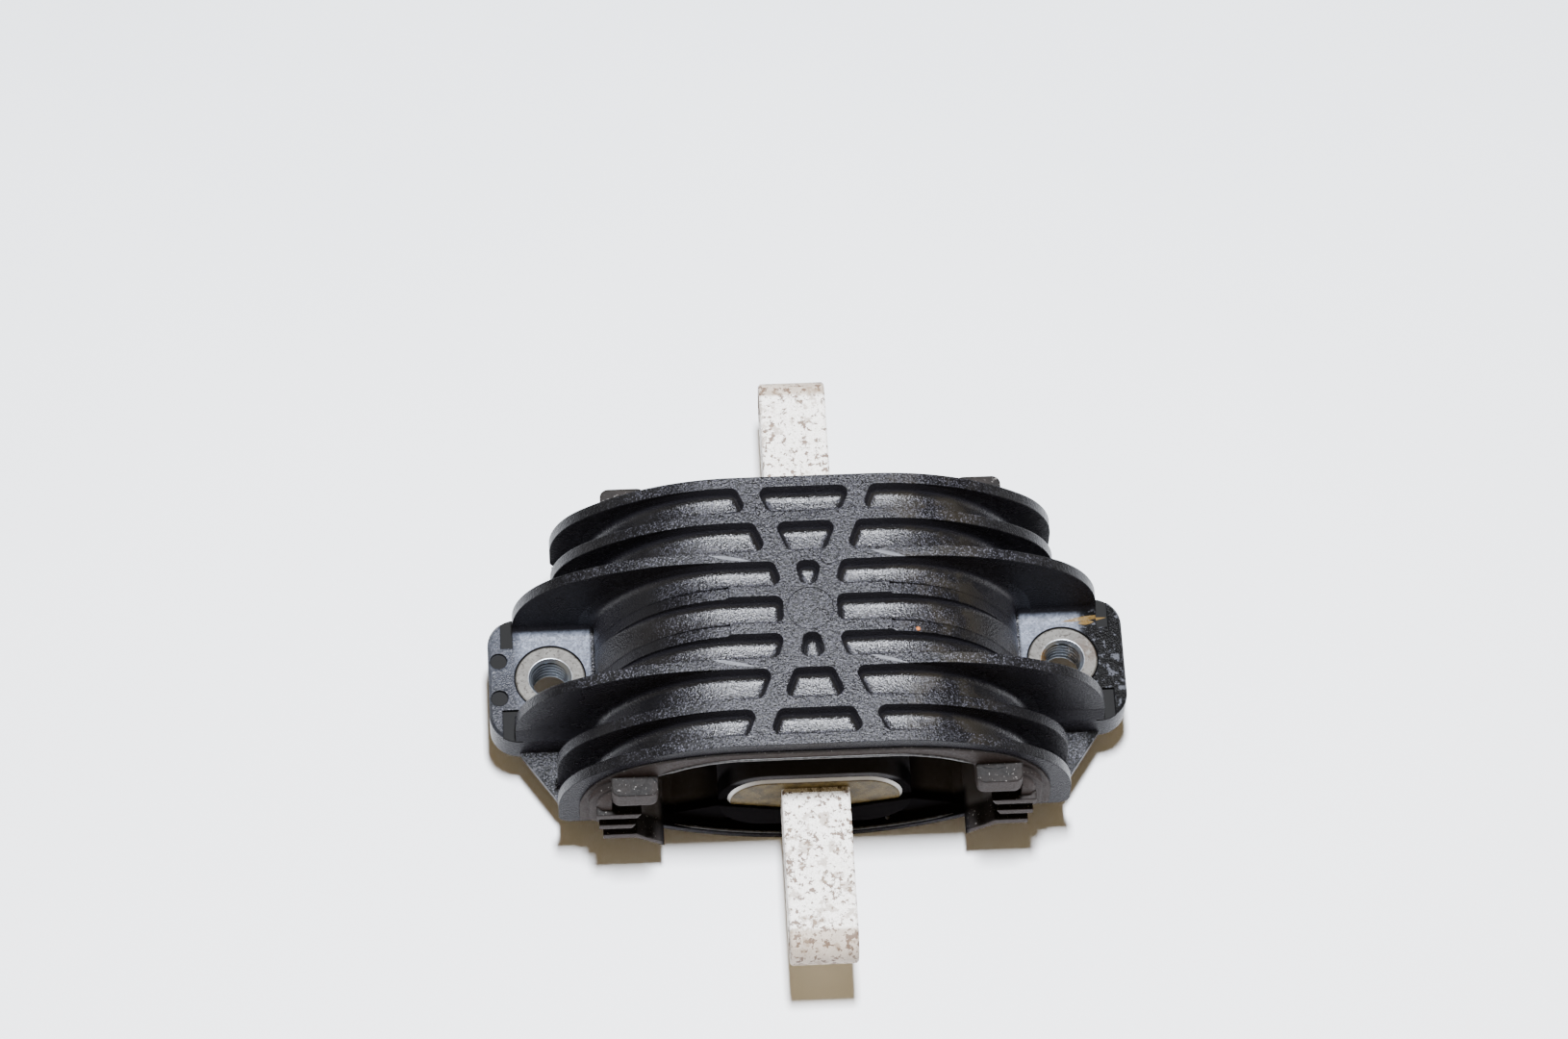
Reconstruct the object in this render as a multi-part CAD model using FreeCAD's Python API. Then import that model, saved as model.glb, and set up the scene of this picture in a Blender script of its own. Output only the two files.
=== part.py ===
import FreeCAD, Part
import math
import os

# Transmission mount: a finned plastic ring with two bolt ears, a rubber
# body moulded inside it, and an alloy core with a through bar.
#
# Millimetres. X runs across the ears, Y along the bar, Z up. The origin lies
# midway between the two ear bolts, on the flat underside of the ears.

# Ring housing: the moulded part that carries everything.
RING_HALF_DEPTH = 42.4
CROWN_Z = 49.3
CROWN_FLAT = 20.0
FIN_THICKNESS = 3.3

# Tube inside the fins, which is also the floor of the pockets.
TUBE_HALF_WIDTH = 61.0
TUBE_CORNER_R = 20.0
TUBE_WALL = 3.4
POCKET_DEPTH = 4.5

# Ordinary fins, seen from the front.
FIN_HEIGHT = 12.0
FIN_CORNER_R = 26.0
FIN_ARCH_RISE = 36.0
END_FIN_FOOT_Z = 4.0
FIN_FOOT_R = 3.5

# Ears, measured from the bolts outward.
BOLT_SPACING = 148.0
EAR_REACH = 17.8
EAR_HALF_DEPTH = 19.5
EAR_THICKNESS = 10.8
EAR_CORNER_R = 8.5
EAR_BEVEL = 0.8
EAR_NOTCH_MARGIN = 3.8
EAR_NOTCH_WIDTH = 5.7
EAR_NOTCH_LENGTH = 9.7
EAR_NOTCH_DEPTH = 1.1
GATE_MARK_R = 2.45
GATE_MARK_DEPTH = 0.8
GATE_MARK_Y = 5.9
GATE_MARK_EDGE = 3.1

# Wide fins that run out over the ears.
WIDE_FIN_SETBACK = 7.3
WIDE_FIN_CORNER_R = 29.0
WIDE_FIN_FLAT = 30.0
WIDE_FIN_ROOT_R = 3.4

# Low fins between the bolts: full height in the middle, one step lower outside it.
LOW_FIN_STEP = 1.2
LOW_FIN_STEP_X = 22.8
LOW_FIN_SINK = 0.8

# Where the fins stand, measured from the middle of the ring.
LOW_FIN_Y = 5.9
WIDE_FIN_Y = 16.9
MIDDLE_FIN_Y = 29.5

# Belly that closes the ring underneath.
BELLY_Z = -12.5
BELLY_R = 100.0
BELLY_WALL = 3.0
BELLY_FLAT_HALF = 10.0

# Crossed ribs on the crown, and the pockets between them.
RIB_SLOPE = 0.40
RIB_START_X = 0.83
RIB_WIDTH = 5.7
CROWN_BOSS_R = 7.6
CROWN_DISC_R = 6.6
CROWN_DISC_DEPTH = 0.4
POCKET_CORNER_R = 1.4
POCKET_DRAFT = 1.0

# Thin plates that tie the ears to the ring.
GUSSET_THICKNESS = 2.2
GUSSET_EAR_INSET = 8.3
GUSSET_HALF_DEPTH = 35.0

# Threaded bushes.
BUSH_OUTER_R = 10.0
BUSH_BORE_R = 5.2
BUSH_CHAMFER = 0.7

# Core and bar.
CORE_Z = 12.0
CORE_WIDTH = 51.5
CORE_HEIGHT = 24.4
CORE_RECESS = 0.4
CORE_BEVEL = 1.8
BAR_WIDTH = 19.3
BAR_THICKNESS = 14.6
BAR_EYE_REACH = 42.9
BAR_EYE_BORE_R = 4.25
BAR_BEVEL = 0.6

# Rubber that lines the ring and laps over both of its faces.
LINING = 0.6
LAP_THICKNESS = 0.6
LAP_MARGIN = 6.0
LAP_CORNER_R = 28.0
LAP_FOOT_Z = 6.0

# Rubber skin round the core, with an apron that covers the lower part of each end.
CORE_SKIN = 1.8
CORE_RIM_BARE = 1.0
APRON_THICKNESS = 0.8
APRON_MIDDLE_RISE = 7.4
APRON_END_RISE = 11.7

# Rubber arms between the core and the ring.
WEB_RECESS = 3.0
WEB_THICKNESS = 8.5
WEB_CORE_X = 20.0
WEB_FOOT_DROP = 8.0

# Rubber columns at the ring's sides, measured from the wall of the cavity inward.
COLUMN_DEPTH = 5.1
COLLAR_OVERLAP = 3.3
COLLAR_PROUD = 2.6
COLLAR_CORNER_R = 13.6
BLOCK_RISE = 19.7
BLOCK_HEIGHT = 6.4
BLOCK_DEPTH = 12.8
BLOCK_OVERLAP = 0.3
BLOCK_PROUD = 6.4
BLOCK_CORNER_R = 2.5

# Thin lips under the block: drop to the lip's middle, reach inward and reach outward over the wall.
LIPS = [(7.2, 8.0, 4.7), (13.8, 6.4, 4.0), (20.2, 6.6, 2.9)]
LIP_THICKNESS = 2.6
LIP_SLANT = 1.2

# Outer strip that joins the highest lip to the block.
STRIP_DROP = 1.0
STRIP_PROUD = 5.0
STRIP_CORNER_R = 12.0
STRIP_BEVEL = 1.6

# Drooping foot at the inner end of the lowest lip.
HORN_LENGTH = 14.4
HORN_BEND = 6.2
HORN_TIP_RISE = 11.5
HORN_TIP_HEIGHT = 2.8

# Room left over when a cutting shape is made, so that it passes right through.
CLEAR = 5.0

TUBE_CROWN_Z = CROWN_Z - POCKET_DEPTH
SPRING_Z = CROWN_Z - FIN_ARCH_RISE
FIN_HALF_WIDTH = TUBE_HALF_WIDTH + FIN_HEIGHT
EAR_HALF_WIDTH = BOLT_SPACING / 2 + EAR_REACH
WIDE_FIN_HALF_WIDTH = EAR_HALF_WIDTH - WIDE_FIN_SETBACK
END_FIN_Y = RING_HALF_DEPTH - FIN_THICKNESS / 2
CORE_HALF_DEPTH = RING_HALF_DEPTH - CORE_RECESS
BAR_EYE_Y = RING_HALF_DEPTH + BAR_EYE_REACH
LAP_FACE_Y = RING_HALF_DEPTH + LAP_THICKNESS
CAVITY_HALF_WIDTH = TUBE_HALF_WIDTH - TUBE_WALL
BLOCK_TOP_Z = SPRING_Z + BLOCK_RISE
BLOCK_BOTTOM_Z = BLOCK_TOP_Z - BLOCK_HEIGHT
HORN_TIP_X = CAVITY_HALF_WIDTH - HORN_LENGTH
HORN_TIP_Z = BELLY_Z + HORN_TIP_RISE


def point(x, y, z):
    return FreeCAD.Vector(x, y, z)


def extrude_y(face, y_from, y_to):
    """Extrude a face drawn in the plane y = 0 between two depths."""
    solid = face.extrude(point(0, y_to - y_from, 0))
    solid.translate(point(0, y_from, 0))
    return solid


def arch(half_width, crown_z, flat_half, corner_r, spring_z, bottom_z):
    """Arch seen from the front: flat crown, shoulder arc, corner arc and upright legs.

    The shoulder's radius follows from the other sizes, so that every join is tangent."""
    run = half_width - corner_r - flat_half
    rise = crown_z - spring_z
    shoulder_r = (run ** 2 + rise ** 2 - corner_r ** 2) / (2 * (rise - corner_r))
    shoulder_z = crown_z - shoulder_r
    corner_x = half_width - corner_r

    def on_arc(centre_x, centre_z, radius, angle):
        return point(centre_x + radius * math.cos(angle), 0, centre_z + radius * math.sin(angle))

    join = math.atan2(spring_z - shoulder_z, corner_x - flat_half)
    crown_end = point(flat_half, 0, crown_z)
    shoulder_mid = on_arc(flat_half, shoulder_z, shoulder_r, (join + math.pi / 2) / 2)
    shoulder_end = on_arc(flat_half, shoulder_z, shoulder_r, join)
    corner_mid = on_arc(corner_x, spring_z, corner_r, join / 2)
    leg_top = point(half_width, 0, spring_z)
    leg_foot = point(half_width, 0, bottom_z)

    def mirrored(p):
        return point(-p.x, p.y, p.z)

    edges = [
        Part.LineSegment(mirrored(crown_end), crown_end),
        Part.Arc(crown_end, shoulder_mid, shoulder_end),
        Part.Arc(shoulder_end, corner_mid, leg_top),
        Part.LineSegment(leg_top, leg_foot),
        Part.LineSegment(leg_foot, mirrored(leg_foot)),
        Part.LineSegment(mirrored(leg_foot), mirrored(leg_top)),
        Part.Arc(mirrored(leg_top), mirrored(corner_mid), mirrored(shoulder_end)),
        Part.Arc(mirrored(shoulder_end), mirrored(shoulder_mid), mirrored(crown_end)),
    ]
    return Part.Face(Part.Wire([edge.toShape() for edge in edges]))


def belly_cylinder(inset):
    """Long cylinder along Y whose lower side is the belly, drawn in by an inset."""
    centre_z = BELLY_Z + math.sqrt(BELLY_R ** 2 - BELLY_FLAT_HALF ** 2)
    start = point(0, -2 * BAR_EYE_Y, centre_z)
    return Part.makeCylinder(BELLY_R - inset, 4 * BAR_EYE_Y, start, point(0, 1, 0))


def tube_solid(inset, half_depth):
    """Plain closed tube shape of the ring, drawn in all round by an inset."""
    face = arch(
        TUBE_HALF_WIDTH - inset,
        TUBE_CROWN_Z - inset,
        CROWN_FLAT,
        TUBE_CORNER_R - inset,
        SPRING_Z,
        BELLY_Z,
    )
    return extrude_y(face, -half_depth, half_depth).common(belly_cylinder(inset))


def cavity(extra_inset, half_depth):
    """Space inside the ring: the side and crown walls and the belly have their own walls."""
    inset = TUBE_WALL + extra_inset
    face = arch(
        TUBE_HALF_WIDTH - inset,
        TUBE_CROWN_Z - inset,
        CROWN_FLAT,
        TUBE_CORNER_R - inset,
        SPRING_Z,
        BELLY_Z - CLEAR,
    )
    floor = belly_cylinder(BELLY_WALL + extra_inset)
    return extrude_y(face, -half_depth, half_depth).common(floor)


def rounded_wire(corners, radius, z):
    """Closed outline in a level plane, with every corner rounded to one radius."""
    edges = []
    ends = []
    count = len(corners)
    for index in range(count):
        here = point(corners[index][0], corners[index][1], z)
        before = point(corners[index - 1][0], corners[index - 1][1], z)
        after = point(corners[(index + 1) % count][0], corners[(index + 1) % count][1], z)
        back = (before - here).normalize()
        on = (after - here).normalize()
        half_angle = back.getAngle(on) / 2
        centre = here + (back + on).normalize() * (radius / math.sin(half_angle))
        start = here + back * (radius / math.tan(half_angle))
        end = here + on * (radius / math.tan(half_angle))
        middle = centre + (here - centre).normalize() * radius
        ends.append((start, end))
        edges.append(Part.Arc(start, middle, end).toShape())
    wires = []
    for index in range(count):
        wires.append(edges[index])
        wires.append(Part.LineSegment(ends[index][1], ends[(index + 1) % count][0]).toShape())
    return Part.Wire(wires)


def spread(corners, distance):
    """Move the sides of a convex outline, given anticlockwise, outward by a distance."""
    moved = []
    count = len(corners)
    for index in range(count):
        here = point(corners[index][0], corners[index][1], 0)
        before = point(corners[index - 1][0], corners[index - 1][1], 0)
        after = point(corners[(index + 1) % count][0], corners[(index + 1) % count][1], 0)
        back = (before - here).normalize()
        on = (after - here).normalize()
        reach = distance / math.sin(back.getAngle(on) / 2)
        out = here - (back + on).normalize() * reach
        moved.append((out.x, out.y))
    return moved


def pocket(corners):
    """Drafted cutting shape for one crown pocket, wider at the crown than at its floor."""
    floor = rounded_wire(corners, POCKET_CORNER_R, TUBE_CROWN_Z)
    reach = POCKET_DEPTH + CLEAR
    top_spread = POCKET_DRAFT * reach / POCKET_DEPTH
    top = rounded_wire(spread(corners, top_spread), POCKET_CORNER_R + top_spread, TUBE_CROWN_Z + reach)
    return Part.makeLoft([floor, top], True)


def rib_x(y):
    """Distance from the middle line to the centre line of a crossed rib."""
    return RIB_START_X + RIB_SLOPE * abs(y)


def fin_gaps():
    """Depth range of each gap between neighbouring fins, from the middle to the front."""
    half = FIN_THICKNESS / 2
    stations = [LOW_FIN_Y, WIDE_FIN_Y, MIDDLE_FIN_Y, END_FIN_Y]
    gaps = [(-LOW_FIN_Y + half, LOW_FIN_Y - half)]
    for near, far in zip(stations, stations[1:]):
        gaps.append((near + half, far - half))
    return gaps


def side_channel(y_near, y_far):
    """Cutting shape for the gap beside the crossed ribs, out past the fins on the +X side."""
    near = y_near + POCKET_DRAFT
    far = y_far - POCKET_DRAFT
    end_near = max(rib_x(near) + RIB_WIDTH / 2, CROWN_BOSS_R) + POCKET_DRAFT
    end_far = max(rib_x(far) + RIB_WIDTH / 2, CROWN_BOSS_R) + POCKET_DRAFT
    outside = EAR_HALF_WIDTH + CLEAR
    inner_end = pocket([(end_near, near), (outside, near), (outside, far), (end_far, far)])
    width = outside - CROWN_FLAT
    start = point(CROWN_FLAT, y_near, BELLY_Z - CLEAR)
    flank = Part.makeBox(width, y_far - y_near, CROWN_Z - BELLY_Z + 2 * CLEAR, start)
    return inner_end.fuse(flank)


def centre_pocket(y_near, y_far):
    """Cutting shape for the pocket between the crossed ribs."""
    near = y_near + POCKET_DRAFT
    far = y_far - POCKET_DRAFT
    half_near = max(rib_x(near) - RIB_WIDTH / 2 - POCKET_DRAFT, POCKET_CORNER_R)
    half_far = rib_x(far) - RIB_WIDTH / 2 - POCKET_DRAFT
    return pocket([(-half_near, near), (half_near, near), (half_far, far), (-half_far, far)])


def mirror_x(shape):
    return shape.mirror(point(0, 0, 0), point(1, 0, 0))


def mirror_y(shape):
    return shape.mirror(point(0, 0, 0), point(0, 1, 0))


def four_ways(shape):
    """The shape and its mirror images across both middle planes."""
    pair = [shape, mirror_x(shape)]
    return pair + [mirror_y(item) for item in pair]


def fin_blank():
    """Crown and fins before the pockets are cut, one thick arch with its middle stepped down."""
    full = arch(FIN_HALF_WIDTH, CROWN_Z, CROWN_FLAT, FIN_CORNER_R, SPRING_Z, END_FIN_FOOT_Z)
    outer_y = WIDE_FIN_Y - FIN_THICKNESS / 2
    front = extrude_y(full, -RING_HALF_DEPTH, -outer_y)
    foot_edges = [
        edge
        for edge in front.Edges
        if edge.BoundBox.ZMax < END_FIN_FOOT_Z + 0.01 and edge.BoundBox.XLength < 0.01
    ]
    front = front.makeFillet(FIN_FOOT_R, foot_edges)
    blank = front.fuse(mirror_y(front))
    low = arch(
        TUBE_HALF_WIDTH - LOW_FIN_SINK,
        CROWN_Z - LOW_FIN_STEP,
        CROWN_FLAT,
        TUBE_CORNER_R,
        SPRING_Z,
        END_FIN_FOOT_Z,
    )
    middle = extrude_y(low, -outer_y, outer_y)
    step = Part.makeBox(
        2 * LOW_FIN_STEP_X,
        2 * outer_y,
        POCKET_DEPTH,
        point(-LOW_FIN_STEP_X, -outer_y, TUBE_CROWN_Z),
    )
    return blank.fuse([middle, step])


def wide_fins():
    """The two fins that reach out over the ears and stand on the mounting plane."""
    face = arch(WIDE_FIN_HALF_WIDTH, CROWN_Z, WIDE_FIN_FLAT, WIDE_FIN_CORNER_R, SPRING_Z, 0)
    half = FIN_THICKNESS / 2
    front = extrude_y(face, -WIDE_FIN_Y - half, -WIDE_FIN_Y + half)
    return [front, mirror_y(front)]


def wide_fin_roots():
    """Concave roundings between the ears' tops and the inner faces of the wide fins."""
    inner_y = WIDE_FIN_Y - FIN_THICKNESS / 2
    start = point(-WIDE_FIN_HALF_WIDTH, inner_y, EAR_THICKNESS)
    strip = Part.makeBox(2 * WIDE_FIN_HALF_WIDTH, WIDE_FIN_ROOT_R, WIDE_FIN_ROOT_R, start)
    strip.translate(point(0, -WIDE_FIN_ROOT_R, 0))
    centre = point(-EAR_HALF_WIDTH, inner_y - WIDE_FIN_ROOT_R, EAR_THICKNESS + WIDE_FIN_ROOT_R)
    hollow = Part.makeCylinder(WIDE_FIN_ROOT_R, 2 * EAR_HALF_WIDTH, centre, point(1, 0, 0))
    root = strip.cut(hollow)
    return [root, mirror_y(root)]


def ear_plate():
    """Both bolt ears as one bar with rounded corners, before the ring is cut out of it."""
    outline = rounded_wire(
        [
            (-EAR_HALF_WIDTH, -EAR_HALF_DEPTH),
            (EAR_HALF_WIDTH, -EAR_HALF_DEPTH),
            (EAR_HALF_WIDTH, EAR_HALF_DEPTH),
            (-EAR_HALF_WIDTH, EAR_HALF_DEPTH),
        ],
        EAR_CORNER_R,
        0,
    )
    plate = Part.Face(outline).extrude(point(0, 0, EAR_THICKNESS))
    top_edges = [edge for edge in plate.Edges if edge.BoundBox.ZMin > EAR_THICKNESS - 0.01]
    plate = plate.makeChamfer(EAR_BEVEL, top_edges)
    notch = Part.makeBox(
        EAR_NOTCH_WIDTH,
        EAR_NOTCH_LENGTH,
        EAR_NOTCH_DEPTH + CLEAR,
        point(
            EAR_HALF_WIDTH - EAR_NOTCH_MARGIN - EAR_NOTCH_WIDTH,
            EAR_HALF_DEPTH - EAR_NOTCH_LENGTH,
            EAR_THICKNESS - EAR_NOTCH_DEPTH,
        ),
    )
    marks = [
        Part.makeCylinder(
            GATE_MARK_R,
            GATE_MARK_DEPTH + CLEAR,
            point(GATE_MARK_EDGE - EAR_HALF_WIDTH, y, EAR_THICKNESS - GATE_MARK_DEPTH),
        )
        for y in (-GATE_MARK_Y, GATE_MARK_Y)
    ]
    return plate.cut(four_ways(notch) + marks)


def gusset():
    """Thin plate on the mounting plane, running from one ear's corner to the ring's side."""
    corners = [
        (0, 0),
        (EAR_HALF_WIDTH - GUSSET_EAR_INSET, 0),
        (EAR_HALF_WIDTH - GUSSET_EAR_INSET, EAR_HALF_DEPTH),
        (FIN_HALF_WIDTH, GUSSET_HALF_DEPTH),
        (0, GUSSET_HALF_DEPTH),
    ]
    points = [point(x, y, 0) for x, y in corners]
    face = Part.Face(Part.makePolygon(points + points[:1]))
    return face.extrude(point(0, 0, GUSSET_THICKNESS))


def middle_fin_feet():
    """Lower legs that carry the middle fins down to the gusset plates."""
    return Part.makeBox(
        2 * FIN_HALF_WIDTH,
        FIN_THICKNESS,
        END_FIN_FOOT_Z + FIN_FOOT_R,
        point(-FIN_HALF_WIDTH, MIDDLE_FIN_Y - FIN_THICKNESS / 2, 0),
    )


def housing():
    gaps = fin_gaps()
    cutters = four_ways(side_channel(*gaps[0]))[:2]
    for near, far in gaps[1:]:
        cutters += four_ways(side_channel(near, far))
        pit = centre_pocket(near, far)
        cutters += [pit, mirror_y(pit)]
    body = fin_blank().cut(cutters)

    feet = middle_fin_feet()
    extras = wide_fins() + wide_fin_roots() + [ear_plate(), feet, mirror_y(feet)] + four_ways(gusset())
    body = body.fuse(extras + [tube_solid(0, RING_HALF_DEPTH)])

    disc = Part.makeCylinder(CROWN_DISC_R, CLEAR, point(0, 0, CROWN_Z - CROWN_DISC_DEPTH))
    bush_holes = [
        Part.makeCylinder(BUSH_OUTER_R, EAR_THICKNESS + 2 * CLEAR, point(x, 0, -CLEAR))
        for x in (-BOLT_SPACING / 2, BOLT_SPACING / 2)
    ]
    space = cavity(0, RING_HALF_DEPTH + CLEAR)
    return body.cut([space, disc] + bush_holes).removeSplitter()


def bush(x):
    """Plain round bush whose bore is chamfered on top, its thread left out."""
    outline = [
        point(BUSH_BORE_R, 0, 0),
        point(BUSH_OUTER_R, 0, 0),
        point(BUSH_OUTER_R, 0, EAR_THICKNESS),
        point(BUSH_BORE_R + BUSH_CHAMFER, 0, EAR_THICKNESS),
        point(BUSH_BORE_R, 0, EAR_THICKNESS - BUSH_CHAMFER),
    ]
    face = Part.Face(Part.makePolygon(outline + outline[:1]))
    solid = face.revolve(point(0, 0, 0), point(0, 0, 1), 360)
    solid.translate(point(x, 0, 0))
    return solid


def stadium(half_width, half_height, y_from, y_to):
    """Flat oval seen from the front, centred on the core."""
    straight = half_width - half_height
    low_z = CORE_Z - half_height
    slab = Part.makeBox(2 * straight, y_to - y_from, 2 * half_height, point(-straight, y_from, low_z))
    rounds = [
        Part.makeCylinder(half_height, y_to - y_from, point(x, y_from, CORE_Z), point(0, 1, 0))
        for x in (-straight, straight)
    ]
    return slab.fuse(rounds).removeSplitter()


def bar_solid():
    """Flat bar with round ends and a cross bore in each end."""
    half = BAR_THICKNESS / 2
    slab = Part.makeBox(
        BAR_WIDTH,
        2 * BAR_EYE_Y,
        BAR_THICKNESS,
        point(-BAR_WIDTH / 2, -BAR_EYE_Y, CORE_Z - half),
    )
    ends = []
    bores = []
    for y in (-BAR_EYE_Y, BAR_EYE_Y):
        start = point(-BAR_WIDTH / 2, y, CORE_Z)
        ends.append(Part.makeCylinder(half, BAR_WIDTH, start, point(1, 0, 0)))
        start = point(-BAR_WIDTH / 2 - CLEAR, y, CORE_Z)
        bores.append(Part.makeCylinder(BAR_EYE_BORE_R, BAR_WIDTH + 2 * CLEAR, start, point(1, 0, 0)))
    solid = slab.fuse(ends).removeSplitter()
    side_edges = [
        edge
        for edge in solid.Edges
        if edge.BoundBox.XLength < 0.01 and edge.Length > BAR_THICKNESS
    ]
    return solid.makeChamfer(BAR_BEVEL, side_edges).cut(bores)


def core_blank():
    """Flat oval block with bevelled end rims."""
    solid = stadium(CORE_WIDTH / 2, CORE_HEIGHT / 2, -CORE_HALF_DEPTH, CORE_HALF_DEPTH)
    rims = [edge for edge in solid.Edges if edge.BoundBox.YLength < 0.01]
    return solid.makeChamfer(CORE_BEVEL, rims)


def core_sleeve():
    """The oval block, pierced by the bar."""
    return core_blank().cut(bar_solid())


def between_faces():
    """Room between the ring's two faces, as wide and high as the whole object."""
    start = point(-EAR_HALF_WIDTH, -RING_HALF_DEPTH, -2 * CROWN_Z)
    return Part.makeBox(2 * EAR_HALF_WIDTH, 2 * RING_HALF_DEPTH, 4 * CROWN_Z, start)


def face_lap():
    """Thin skin of rubber on both faces of the ring, round the opening."""
    half_width = TUBE_HALF_WIDTH + LAP_MARGIN
    face = arch(half_width, TUBE_CROWN_Z, CROWN_FLAT, LAP_CORNER_R, SPRING_Z, LAP_FOOT_Z)
    outline = extrude_y(face, -LAP_FACE_Y, LAP_FACE_Y)
    return outline.cut([between_faces(), cavity(0, LAP_FACE_Y + CLEAR)])


def column_profile(corners):
    """Shape drawn as seen from the front, run through the ring and out at both faces."""
    points = [point(x, 0, z) for x, z in corners]
    face = Part.Face(Part.makePolygon(points + points[:1]))
    reach = RING_HALF_DEPTH + BLOCK_PROUD
    return extrude_y(face, -reach, reach)


def column_slab(outer_x, foot_z, top_z, corner_r, half_depth):
    """Upright slab at the ring's +X side, its top outer corner rounded as seen from the front."""
    width = 2 * corner_r
    start = point(outer_x - width, -half_depth, foot_z)
    slab = Part.makeBox(width, 2 * half_depth, top_z - foot_z, start)
    corner = [
        edge
        for edge in slab.Edges
        if edge.BoundBox.XMin > outer_x - 0.01 and edge.BoundBox.ZMin > top_z - 0.01
    ]
    return slab.makeFillet(corner_r, corner)


def beyond(inner_x, half_depth):
    """Room on the +X side from a given distance outward."""
    start = point(inner_x, -half_depth, -2 * CROWN_Z)
    return Part.makeBox(EAR_HALF_WIDTH, 2 * half_depth, 4 * CROWN_Z, start)


def lip(drop, length, overlap):
    """Thin rubber lip with a slanted inner end."""
    inner_x = CAVITY_HALF_WIDTH - length
    outer_x = CAVITY_HALF_WIDTH + overlap
    low = BLOCK_BOTTOM_Z - drop - LIP_THICKNESS / 2
    high = low + LIP_THICKNESS
    return column_profile([(inner_x + LIP_SLANT, low), (outer_x, low), (outer_x, high), (inner_x, high)])


def outer_strip():
    """Strip round the block's outer side, from its top down to the highest lip, bevelled in front."""
    drop, _, overlap = LIPS[0]
    outer_x = CAVITY_HALF_WIDTH + overlap
    foot_z = BLOCK_BOTTOM_Z - drop
    half_depth = RING_HALF_DEPTH + STRIP_PROUD
    slab = column_slab(outer_x, foot_z, BLOCK_TOP_Z - STRIP_DROP, STRIP_CORNER_R, half_depth)
    rims = [
        edge
        for edge in slab.Edges
        if edge.BoundBox.YLength < 0.01
        and edge.BoundBox.ZMax > foot_z + 0.01
        and edge.BoundBox.XMax > outer_x - STRIP_CORNER_R - 0.01
    ]
    return slab.makeChamfer(STRIP_BEVEL, rims).common(beyond(CAVITY_HALF_WIDTH + BLOCK_OVERLAP, half_depth))


def horn():
    """Lowest lip drawn out towards the middle into a drooping foot."""
    drop, length, _ = LIPS[-1]
    inner_x = CAVITY_HALF_WIDTH - length
    root_x = CAVITY_HALF_WIDTH - COLUMN_DEPTH + LIP_SLANT
    low = BLOCK_BOTTOM_Z - drop - LIP_THICKNESS / 2
    high = low + LIP_THICKNESS
    corners = [
        (HORN_TIP_X, HORN_TIP_Z),
        (CAVITY_HALF_WIDTH - HORN_BEND, low),
        (root_x, low),
        (root_x, high),
        (inner_x, high),
        (inner_x - LIP_THICKNESS, low),
        (HORN_TIP_X, HORN_TIP_Z + HORN_TIP_HEIGHT),
    ]
    return column_profile(corners)


def block():
    """Rubber block at the top of a column, standing out at both faces of the ring."""
    inner_x = CAVITY_HALF_WIDTH - BLOCK_DEPTH
    depth = 2 * (RING_HALF_DEPTH + BLOCK_PROUD)
    start = point(inner_x, -depth / 2, BLOCK_BOTTOM_Z)
    solid = Part.makeBox(BLOCK_DEPTH + BLOCK_OVERLAP, depth, BLOCK_HEIGHT, start)
    corners = [edge for edge in solid.Edges if edge.BoundBox.ZLength > BLOCK_HEIGHT / 2]
    return solid.makeFillet(BLOCK_CORNER_R, corners)


def side_column():
    """Rubber column at the ring's +X side: a body with a collar, a top block, lips and a horn."""
    half_depth = RING_HALF_DEPTH + COLLAR_PROUD
    outer_x = TUBE_HALF_WIDTH + COLLAR_OVERLAP
    slab = column_slab(outer_x, BELLY_Z, BLOCK_TOP_Z, COLLAR_CORNER_R, half_depth)
    inner_x = CAVITY_HALF_WIDTH - COLUMN_DEPTH
    body = slab.common(beyond(inner_x, half_depth)).common(belly_cylinder(0))
    lips = [lip(*sizes) for sizes in LIPS]
    column = body.fuse([block(), outer_strip(), horn()] + lips)
    inside = column.common(cavity(0, RING_HALF_DEPTH))
    return column.cut(between_faces()).fuse(inside)


def web():
    """Rubber arm on the +X side, from the core's lower flank down to the column's foot."""
    top_z = CORE_Z - CORE_HEIGHT / 4
    foot_x = HORN_TIP_X + LIP_THICKNESS
    foot_z = top_z - WEB_FOOT_DROP
    corners = [
        (WEB_CORE_X, top_z),
        (foot_x, foot_z),
        (foot_x, foot_z - WEB_THICKNESS - CLEAR),
        (WEB_CORE_X, top_z - WEB_THICKNESS),
    ]
    points = [point(x, 0, z) for x, z in corners]
    face = Part.Face(Part.makePolygon(points + points[:1]))
    half_depth = CORE_HALF_DEPTH - WEB_RECESS
    return extrude_y(face, -half_depth, half_depth).common(cavity(0, half_depth))


def apron():
    """Rubber that covers the lower part of the core's ends, up to a shallow V beside the bar."""
    half_width = CORE_WIDTH / 2 + CORE_SKIN
    low_z = CORE_Z - CORE_HEIGHT / 2
    corners = [
        (-half_width, low_z + APRON_END_RISE),
        (-BAR_WIDTH / 2, low_z + APRON_MIDDLE_RISE),
        (BAR_WIDTH / 2, low_z + APRON_MIDDLE_RISE),
        (half_width, low_z + APRON_END_RISE),
        (half_width, low_z - CORE_SKIN),
        (-half_width, low_z - CORE_SKIN),
    ]
    points = [point(x, 0, z) for x, z in corners]
    face = Part.Face(Part.makePolygon(points + points[:1]))
    reach = CORE_HALF_DEPTH + APRON_THICKNESS
    return extrude_y(face, -reach, reach).common(core_skin(reach))


def core_skin(half_depth):
    """Oval rubber block round the core, before the core is taken out of it."""
    half_width = CORE_WIDTH / 2 + CORE_SKIN
    half_height = CORE_HEIGHT / 2 + CORE_SKIN
    return stadium(half_width, half_height, -half_depth, half_depth)


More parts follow.
